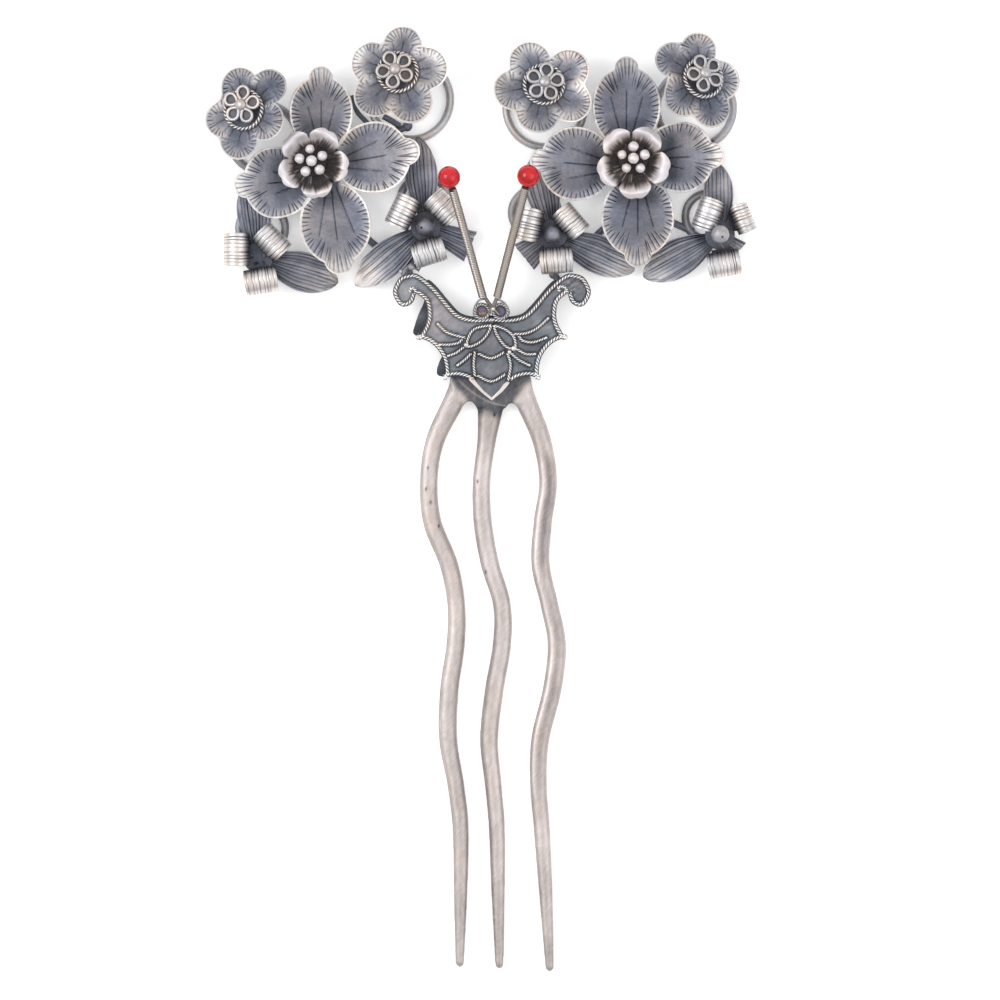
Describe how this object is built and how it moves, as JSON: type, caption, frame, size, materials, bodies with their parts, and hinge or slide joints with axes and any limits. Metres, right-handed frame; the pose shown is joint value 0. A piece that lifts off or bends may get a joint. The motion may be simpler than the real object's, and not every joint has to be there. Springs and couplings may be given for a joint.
{
  "type": "ornamental hair fork",
  "caption": "Antiqued silver hair fork with wavy prongs, a filigree butterfly with coral-tipped spring antennae, and clusters of chased flowers, leaves and curled ribbons on wire frames.",
  "frame": {"origin": "under the middle of the whole object's bounding box, on the surface it lies on", "axes": "+Y from the prong tips to the flowers, +Z towards the viewer, out of the flowers, +X to the right"},
  "size_m": [0.0884, 0.1514, 0.0138],
  "materials": {
    "bare_silver": "satin",
    "dark_silver": "satin",
    "plate_grey": "satin",
    "bright_silver": "satin",
    "coral": "gloss"
  },
  "bodies": {
    "root": {"fork": "bare_silver", "butterfly_back_plate": "plate_grey", "butterfly_post": "dark_silver", "butterfly_plate": "plate_grey", "eye_ring_left": "bright_silver", "eye_ring_right": "bright_silver", "antenna_knot": "dark_silver", "antenna_left": "bare_silver", "antenna_right": "bare_silver", "bead_left": "coral", "bead_right": "coral", "wire_frame_left": "dark_silver", "wire_frame_right": "dark_silver", "big_flower_left": "dark_silver", "cup_flower_left": "bright_silver", "stamens_left": "bright_silver", "big_flower_right": "dark_silver", "cup_flower_right": "bright_silver", "stamens_right": "bright_silver", "small_flower_left_outer": "dark_silver", "twisted_ring_left_outer": "bright_silver", "rosette_left_outer": "bright_silver", "small_flower_left_inner": "dark_silver", "twisted_ring_left_inner": "bright_silver", "rosette_left_inner": "bright_silver", "small_flower_right_inner": "dark_silver", "twisted_ring_right_inner": "bright_silver", "rosette_right_inner": "bright_silver", "small_flower_right_outer": "dark_silver", "twisted_ring_right_outer": "bright_silver", "rosette_right_outer": "bright_silver", "leaves_left_outer": "dark_silver", "ribbon_left_outer_1": "bright_silver", "ribbon_left_outer_2": "bright_silver", "ribbon_left_outer_3": "bright_silver", "leaves_left_inner": "dark_silver", "ribbon_left_inner_1": "bright_silver", "ribbon_left_inner_2": "bright_silver", "ribbon_left_inner_3": "bright_silver", "ball_left_inner": "dark_silver", "leaves_right_inner": "dark_silver", "ribbon_right_inner_1": "bright_silver", "ribbon_right_inner_2": "bright_silver", "ribbon_right_inner_3": "bright_silver", "ball_right_inner": "dark_silver", "leaves_right_outer": "dark_silver", "ribbon_right_outer_1": "bright_silver", "ribbon_right_outer_2": "bright_silver", "ribbon_right_outer_3": "bright_silver", "ball_right_outer": "dark_silver"}
  },
  "joints": []
}
